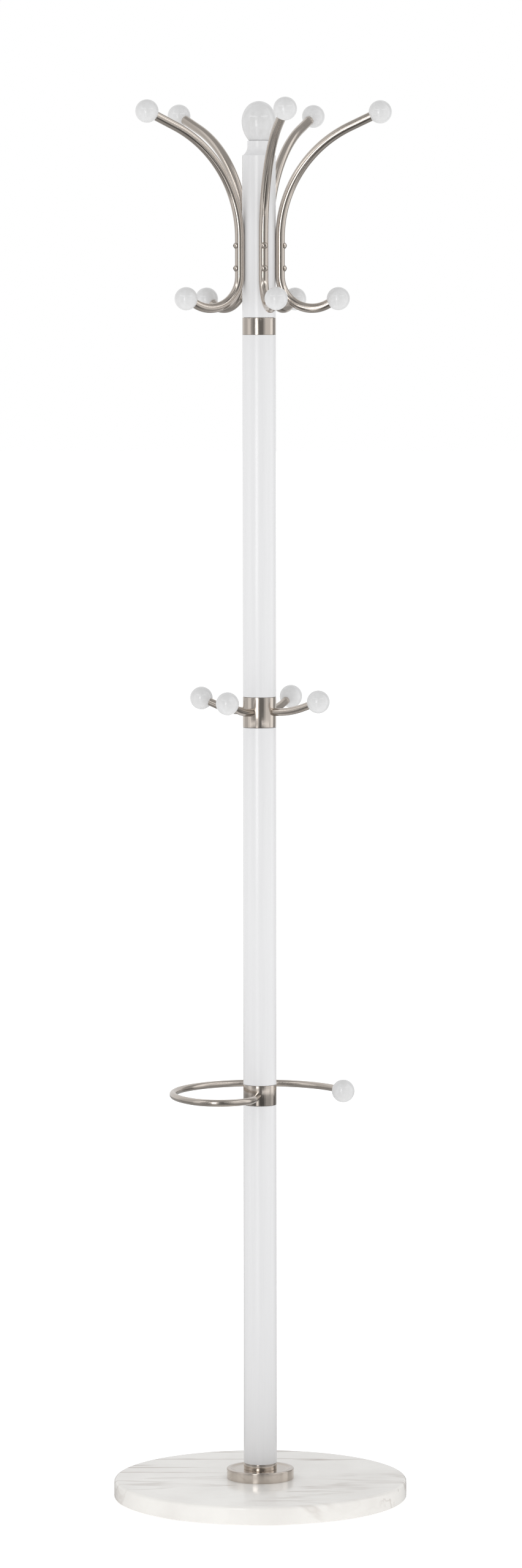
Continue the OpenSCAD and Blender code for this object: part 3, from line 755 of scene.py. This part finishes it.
class RACK_OT_posts(Operator):
    """Turn the three lower posts with their tenons"""
    bl_idname = "rack.posts"
    bl_label = "Posts"

    def execute(self, context):
        post = context.scene.rack_post
        tenon = POST_R - post.wall - post.tenon_gap
        ring = (low("ring_collar").z - post.gap, high("ring_collar").z + post.gap)
        hooks = (low("hook_collar").z - post.gap, high("hook_collar").z + post.gap)
        shoulders = {
            "lower_post": (high("foot_ferrule").z, ring[0]),
            "middle_post": (ring[1], hooks[0]),
            "upper_post": (hooks[1], low("top_band").z)}
        for node, (foot, top) in shoulders.items():
            start, end = low(node).z, high(node).z
            outline = rounded([
                (0, start, 0), (tenon, start, post.tenon_round), (tenon, foot, 0),
                (POST_R, foot, post.edge), (POST_R, top, post.edge), (tenon, top, 0),
                (tenon, end, post.tenon_round), (0, end, 0)], steps=4)
            name = node + "_turned"
            piece = add_object(name, lathe(name, outline), material_of("posts"))
            hand_over(piece, "stand", [node])
        return {"FINISHED"}


class RACK_OT_head_post(Operator):
    """Turn the head post with its cove, its neck and the bore for the pivot"""
    bl_idname = "rack.head_post"
    bl_label = "Head post"

    def execute(self, context):
        post = context.scene.rack_post
        start, end = low("head_post").z, high("head_post").z
        shoulder = high("top_band").z + post.gap
        tenon = POST_R - post.wall - post.tenon_gap
        neck, cove = end - post.neck_l, post.cove_h
        step = POST_R - post.neck_r
        cove_r = (step ** 2 + cove ** 2) / (2 * step)
        socket_r, socket_top = radius("pivot_socket") + post.socket_gap, high("pivot_socket").z
        cove_foot = -math.pi + math.asin(cove / cove_r)
        outline = rounded([
            (0, socket_top, 0), (socket_r, socket_top, 0), (socket_r, start, 0),
            (tenon, start, post.tenon_round), (tenon, shoulder, 0), (POST_R, shoulder, post.edge),
            (POST_R, neck - cove, 0)], steps=4)
        outline += arc(post.neck_r + cove_r, neck, cove_r, cove_foot, -math.pi, steps=16)[1:]
        outline += [Vector((post.neck_r, end)), Vector((0, end))]
        piece = add_object("head_post_turned", lathe("head_post_turned", outline), material_of("posts"))
        hand_over(piece, "head", ["head_post"])
        return {"FINISHED"}


class RACK_OT_knob(Operator):
    """Turn the knob that ends the head"""
    bl_idname = "rack.knob"
    bl_label = "Knob"

    def execute(self, context):
        post = context.scene.rack_post
        foot, size = low("finial_knob").z, radius("finial_knob")
        waist, side = foot + post.knob_waist, post.knob_side_angle
        rise = (post.knob_side_r - size) * math.tan(side)
        crown = post.knob_side_r - (post.knob_side_r - size) / math.cos(side)
        turn = math.asin(post.knob_waist / post.knob_low_r)
        outline = [Vector((0, foot))]
        outline += arc(size - post.knob_low_r, waist, post.knob_low_r, -turn, 0, steps=20)
        outline += arc(size - post.knob_side_r, waist, post.knob_side_r, 0, side, steps=16)[1:]
        outline += arc(0, waist + rise, crown, side, math.pi / 2, steps=20)[1:-1]
        outline += [Vector((0, waist + rise + crown))]
        knob = add_object("knob_turned", lathe("knob_turned", outline, steps=128), material_of("balls"))
        hand_over(knob, "head", ["finial_knob"])
        return {"FINISHED"}


# ---- Bent pieces ----

class RACK_OT_umbrella_ring(Operator):
    """Bend the umbrella ring from its stub round to its ball"""
    bl_idname = "rack.umbrella_ring"
    bl_label = "Umbrella ring"

    def execute(self, context):
        tubes = context.scene.rack_tubes
        level = middle("umbrella_ring").z
        diameter = high("umbrella_ring").z - low("umbrella_ring").z
        ring_r, bend_r = reach("ring_ball"), tubes.ring_bend_r
        stub = direction("ring_ball") - tubes.ring_mouth
        run = math.sqrt((ring_r - bend_r) ** 2 - bend_r ** 2)
        lead_in = math.asin(bend_r / (ring_r - bend_r))
        start = POST_R - tubes.root
        short_of_ball = math.asin(tubes.ball_stop / ring_r)
        flat = bent_path(
            stub,
            [(run - start,), (bend_r, -math.pi / 2 - lead_in),
             (ring_r, -(math.tau - tubes.ring_mouth - lead_in - short_of_ball))],
            (start * math.cos(stub), start * math.sin(stub)))
        places = [(x, y, level) for x, y in flat]
        ring = sweep("umbrella_ring_bent", places, diameter, "tubes")
        hand_over(ring, "ring", ["umbrella_ring"])
        return {"FINISHED"}


class RACK_OT_short_hooks(Operator):
    """Bend the short hooks and set them round their sleeve"""
    bl_idname = "rack.short_hooks"
    bl_label = "Short hooks"

    def execute(self, context):
        tubes = context.scene.rack_tubes
        ball = HOOK_BALLS[0]
        turn, bend_r = tubes.hook_bend, tubes.hook_bend_r
        start = POST_R - tubes.root
        bend_end = POST_R + tubes.hook_lead + bend_r * math.sin(turn)
        tail = (reach(ball) - bend_end) / math.cos(turn)
        level = middle(ball).z - bend_r * (1 - math.cos(turn)) - tail * math.sin(turn)
        flat = bent_path(
            0, [(POST_R + tubes.hook_lead - start,), (bend_r, turn), (tail - tubes.ball_stop,)])
        hook = sweep("short_hook", [(r, 0, z) for r, z in flat], tubes.hook_d, "tubes")
        places = round_the_post(HOOK_BALLS, start, (level,))
        hooks = set_round("short_hooks_bent", hook, places, "tubes")
        hand_over(hooks, "hooks", SHORT_HOOKS)
        return {"FINISHED"}


class RACK_OT_double_arms(Operator):
    """Bend the double arms and set them round the head"""
    bl_idname = "rack.double_arms"
    bl_label = "Double arms"

    def execute(self, context):
        tubes = context.scene.rack_tubes
        line_r = POST_R + tubes.arm_d / 2
        # Each bend starts at a fixed distance from its nearest screw
        low_screw, up_screw = arm_screw_levels(tubes)
        low_start, up_start = low_screw - tubes.screw_edge, up_screw + tubes.screw_edge
        up_end = line_r + tubes.arm_up_r * (1 - math.cos(tubes.arm_up))
        up_tail = (reach(UPPER_BALLS[0]) - up_end) / math.sin(tubes.arm_up)
        tilt = tubes.arm_low - math.pi / 2
        low_end = line_r + tubes.arm_low_r * (1 + math.sin(tilt))
        low_tail = (reach(LOWER_BALLS[0]) - low_end) / math.cos(tilt)
        upper = bent_path(
            math.pi / 2, [(tubes.arm_up_r, -tubes.arm_up), (up_tail - tubes.ball_stop,)],
            (0, up_start))
        lower = bent_path(
            -math.pi / 2, [(tubes.arm_low_r, tubes.arm_low), (low_tail - tubes.ball_stop,)],
            (0, low_start))
        places = [(r, 0, z) for r, z in lower[::-1] + upper]
        arm = sweep("double_arm", places, tubes.arm_d, "tubes")
        arms = set_round("double_arms_bent", arm, round_the_post(UPPER_BALLS, line_r), "tubes")
        hand_over(arms, "head", ARMS)
        return {"FINISHED"}


def arm_screw_levels(tubes):
    """Heights of the two screws of each arm, whose heads end the CAD node."""
    half = tubes.screw_head_d / 2
    return low("arm_screws").z + half, high("arm_screws").z - half


class RACK_OT_arm_screws(Operator):
    """Turn one domed screw, cut its recess and set it at every hole of the arms"""
    bl_idname = "rack.arm_screws"
    bl_label = "Arm screws"

    def execute(self, context):
        tubes = context.scene.rack_tubes
        # The head's underside: each screw's X axis points away from the post
        seat = POST_R + tubes.arm_d - tubes.screw_sink
        tip = POST_R - tubes.screw_depth - seat
        half, rise, shank = tubes.screw_head_d / 2, tubes.screw_head_h, tubes.screw_d / 2
        dome = (half ** 2 + rise ** 2) / (2 * rise)
        point_r, taper = shank / 5, 2 * shank
        outline = [Vector(place) for place in (
            (0, tip), (point_r, tip), (shank, tip + taper), (shank, 0), (half, 0))]
        dome_foot = math.asin((dome - rise) / dome)
        outline += arc(0, rise - dome, dome, dome_foot, math.pi / 2, steps=12)[1:-1]
        outline += [Vector((0, rise))]
        facets = 48
        screw = add_object("arm_screw_one", lathe("arm_screw_one", outline, facets))
        corner_r = tubes.screw_hex / 2 / math.cos(math.pi / 6)
        floor, clear = tubes.screw_hex_floor, 2 * rise
        prism = [Vector(place) for place in (
            (0, floor), (corner_r, floor), (corner_r, clear), (0, clear))]
        recess = add_object("recess", lathe("recess", prism, steps=6))
        # Turned by half a facet of the dome, so that the recess has no edge in line with the dome's
        recess.rotation_euler.z = math.pi / facets
        cut = screw.modifiers.new("Recess", "BOOLEAN")
        cut.operation, cut.object, cut.solver = "DIFFERENCE", recess, "EXACT"
        depsgraph = bpy.context.evaluated_depsgraph_get()
        mesh = bpy.data.meshes.new_from_object(screw.evaluated_get(depsgraph), depsgraph=depsgraph)
        for spare in (screw, recess):
            bpy.data.objects.remove(spare)
        mesh.transform(Matrix.Rotation(math.pi / 2, 4, "Y"))
        mesh.set_sharp_from_angle(angle=CREASE)
        places = round_the_post(UPPER_BALLS, seat, arm_screw_levels(tubes))
        screws = set_round("arm_screws_turned", add_object("arm_screw", mesh), places, "tubes")
        hand_over(screws, "head", ["arm_screws"])
        return {"FINISHED"}


class RACK_OT_balls(Operator):
    """Turn one ball and set it on the end of every arm, hook and ring"""
    bl_idname = "rack.balls"
    bl_label = "Balls"

    def execute(self, context):
        groups = {
            "head": UPPER_BALLS + LOWER_BALLS,
            "hooks": HOOK_BALLS,
            "ring": ["ring_ball"]}
        for body, nodes in groups.items():
            name = body + "_balls_turned"
            outline = arc(0, 0, BALL_R, -math.pi / 2, math.pi / 2, steps=32)
            outline[0], outline[-1] = Vector((0, -BALL_R)), Vector((0, BALL_R))
            ball = lathe(name + "_one", outline, steps=64)
            places = [tuple(middle(node)) for node in nodes]
            balls = set_round(name, add_object(name + "_one", ball), places, "balls")
            hand_over(balls, body, nodes)
        return {"FINISHED"}


class RACK_OT_fixings(Operator):
    """Give the hidden bolts, inserts, washers and pivot their finishes"""
    bl_idname = "rack.fixings"
    bl_label = "Hidden fixings"

    def execute(self, context):
        finishes = {
            "zinc": ["base_washer", "base_bolt", "joint_studs", "pivot_pin", "grip_ring",
                     "pivot_socket", "finial_screw"],
            "brass": ["threaded_inserts"],
            "nylon": ["thrust_washer"]}
        shown = {o["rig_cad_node"]: o for o in bpy.context.scene.objects if "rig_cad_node" in o}
        for finish, nodes in finishes.items():
            for node in nodes:
                slots = shown[node].data.materials
                slots.clear()
                slots.append(material_of(finish))
        return {"FINISHED"}


# ---- Studio ----

def reflection_card(name, first, last, edges, glow):
    """A card of even brightness that only mirrors see, bent round the object between two bearings.

    The bearings are in degrees from the front, and each of its two edges is a radius and a height.
    """
    degrees_a_step = 6
    steps = max(2, round((last - first) / degrees_a_step))
    bearings = [math.radians(first + (last - first) * k / steps) for k in range(steps + 1)]
    places = [(r * math.sin(b), -r * math.cos(b), z) for b in bearings for r, z in edges]
    faces = [(2 * k, 2 * k + 1, 2 * k + 3, 2 * k + 2) for k in range(steps)]
    mesh = bpy.data.meshes.new(name)
    mesh.from_pydata(places, [], faces)
    material = bpy.data.materials.new(name)
    material.use_nodes = True
    tree = material.node_tree
    tree.nodes.clear()
    light = add(tree, "ShaderNodeEmission", {"Strength": glow})
    add(tree, "ShaderNodeOutputMaterial", links={"Surface": light.outputs[0]})
    card = add_object(name, mesh, material)
    card.visible_camera = card.visible_diffuse = card.visible_shadow = False
    card.visible_transmission = card.visible_volume_scatter = False


def reflection_cards(studio):
    """Tall cards round the object, one bright strip, light bars over and under, and a dim floor."""
    far, foot_h, top_h, floor_r = studio.card_r, studio.card_low_h, studio.card_h, studio.card_floor_r
    # Each card's first and last bearing and its brightness, which is halved near the floor and on it
    tall = [
        (-180, -124, 0.80), (-124, -86, 0.62), (-86, -60, 0.92), (-60, -46, 0.45),
        (-46, -25, 0.28), (-11, -4, 0.62), (-4, 30, 0.19), (30, 42, 0.5), (42, 84, 0.82),
        (84, 108, 1.2), (108, 140, 0.38), (140, 180, 0.75)]
    halved = 0.5
    for number, (first, last, glow) in enumerate(tall):
        reflection_card(f"card_low_{number}", first, last, [(far, MM), (far, foot_h)], halved * glow)
        reflection_card(f"card_{number}", first, last, [(far, foot_h), (far, top_h)], glow)
    # The strip fills the gap between the cards, and is dim where the flange mirrors it and above the head
    strip_first, strip_last = -25, -11
    strip = [(MM, foot_h, 2), (foot_h, 0.64, 0.6), (0.64, 2, 3.8), (2, 3, 1.3), (3, top_h, 0.5)]
    for number, (bottom, top, glow) in enumerate(strip):
        edges = [(far, bottom), (far, top)]
        reflection_card(f"card_strip_{number}", strip_first, strip_last, edges, glow)
    # The bars stand just before the cards, at heights where only slanting tubes mirror them
    near = far - 20 * MM
    low_bar, high_bar = (0.3, 0.48, 1.3), (2.8, 3.2, 2.6)
    bars = [(-70, -27, low_bar), (14, 70, low_bar), (-70, -14, high_bar), (14, 70, high_bar)]
    for number, (first, last, (bottom, top, glow)) in enumerate(bars):
        reflection_card(f"card_bar_{number}", first, last, [(near, bottom), (near, top)], glow)
    # The floor mirrors as dim sectors that continue the cards and the strip, round a plain middle
    sectors = [(first, last, halved * glow) for first, last, glow in tall]
    sectors.append((strip_first, strip_last, 1.2))
    for number, (first, last, glow) in enumerate(sectors):
        reflection_card(f"card_sector_{number}", first, last, [(floor_r, MM), (far, MM)], glow)
    reflection_card("card_floor", -180, 180, [(0, MM), (floor_r, MM)], studio.floor_card)


class RACK_OT_studio(Operator):
    """Set up the pale floor, the white room, the reflection cards and the camera"""
    bl_idname = "rack.studio"
    bl_label = "Studio"

    def execute(self, context):
        studio, scene = context.scene.rack_studio, context.scene
        scene.view_settings.view_transform = "Standard"
        # Half of the floor's width in metres, far enough for its edge to be lost in the white
        wide = 60
        corners = [(-wide, -wide, 0), (wide, -wide, 0), (wide, wide, 0), (-wide, wide, 0)]
        mesh = bpy.data.meshes.new("floor")
        mesh.from_pydata(corners, [], [(0, 1, 2, 3)])
        material, tree, shader = new_material("Pale studio floor, matt paint")
        shader.inputs["Base Color"].default_value = rgba(linear("f4f4f4"))
        shader.inputs["Roughness"].default_value = 1
        shader.inputs["Specular IOR Level"].default_value = 0
        shader.inputs["Emission Color"].default_value = (1, 1, 1, 1)
        shader.inputs["Emission Strength"].default_value = studio.floor_glow
        add_object("floor", mesh, material)
        reflection_cards(studio)

        world = bpy.data.worlds.new("White room")
        scene.world = world
        world.use_nodes = True
        tree = world.node_tree
        tree.nodes.clear()
        seen = add(tree, "ShaderNodeLightPath")
        plain = add(
            tree, "ShaderNodeMapRange", {"To Min": studio.fill, "To Max": studio.ceiling},
            {"Value": seen.outputs["Is Glossy Ray"]})
        glow = add(
            tree, "ShaderNodeMath", {"operation": "MAXIMUM"},
            {0: plain.outputs[0], 1: seen.outputs["Is Camera Ray"]})
        room = add(tree, "ShaderNodeBackground", {"Color": (1, 1, 1, 1)}, {"Strength": glow.outputs[0]})
        add(tree, "ShaderNodeOutputWorld", links={"Surface": room.outputs[0]})

        lens = bpy.data.cameras.new("Camera")
        lens.lens = studio.focal
        lens.clip_end = 200
        camera = bpy.data.objects.new("Camera", lens)
        scene.collection.objects.link(camera)
        camera.location = (studio.camera_side, -studio.camera_distance, studio.camera_height)
        turned = Matrix.Rotation(math.pi / 2 - studio.camera_tilt, 3, "X")
        leaned = Matrix.Rotation(-studio.camera_roll, 3, "Z")
        camera.rotation_euler = (turned @ leaned).to_euler()
        scene.camera = camera
        return {"FINISHED"}


# ---- Panel and registration ----

PIECES = (
    RACK_OT_marble_disc, RACK_OT_felt_pads, RACK_OT_flange, RACK_OT_sleeves, RACK_OT_posts,
    RACK_OT_head_post, RACK_OT_knob, RACK_OT_umbrella_ring, RACK_OT_short_hooks,
    RACK_OT_double_arms, RACK_OT_arm_screws, RACK_OT_balls, RACK_OT_fixings, RACK_OT_studio,
)


class RACK_PT_panel(Panel):
    """Pieces of the coat rack and their settings"""
    bl_idname = "RACK_PT_panel"
    bl_label = "Coat rack"
    bl_space_type = "VIEW_3D"
    bl_region_type = "UI"
    bl_category = "Coat rack"

    def draw(self, context):
        for name, group in SETTINGS.items():
            box = self.layout.box()
            box.label(text=group.__doc__)
            for prop in group.__annotations__:
                box.prop(getattr(context.scene, name), prop)
        for piece in PIECES:
            self.layout.operator(piece.bl_idname)


def register():
    """Make the settings, operators and panel known to Blender."""
    for name, group in SETTINGS.items():
        bpy.utils.register_class(group)
        setattr(bpy.types.Scene, name, PointerProperty(type=group))
    for kind in (*PIECES, RACK_PT_panel):
        bpy.utils.register_class(kind)


def unregister():
    """Take them back in reverse order."""
    for kind in reversed((*PIECES, RACK_PT_panel)):
        bpy.utils.unregister_class(kind)
    for name, group in reversed(SETTINGS.items()):
        delattr(bpy.types.Scene, name)
        bpy.utils.unregister_class(group)


def main():
    """Build every piece and the studio."""
    register()
    for piece in PIECES:
        group, name = piece.bl_idname.split(".")
        getattr(getattr(bpy.ops, group), name)()


if __name__ == "__main__":
    main()
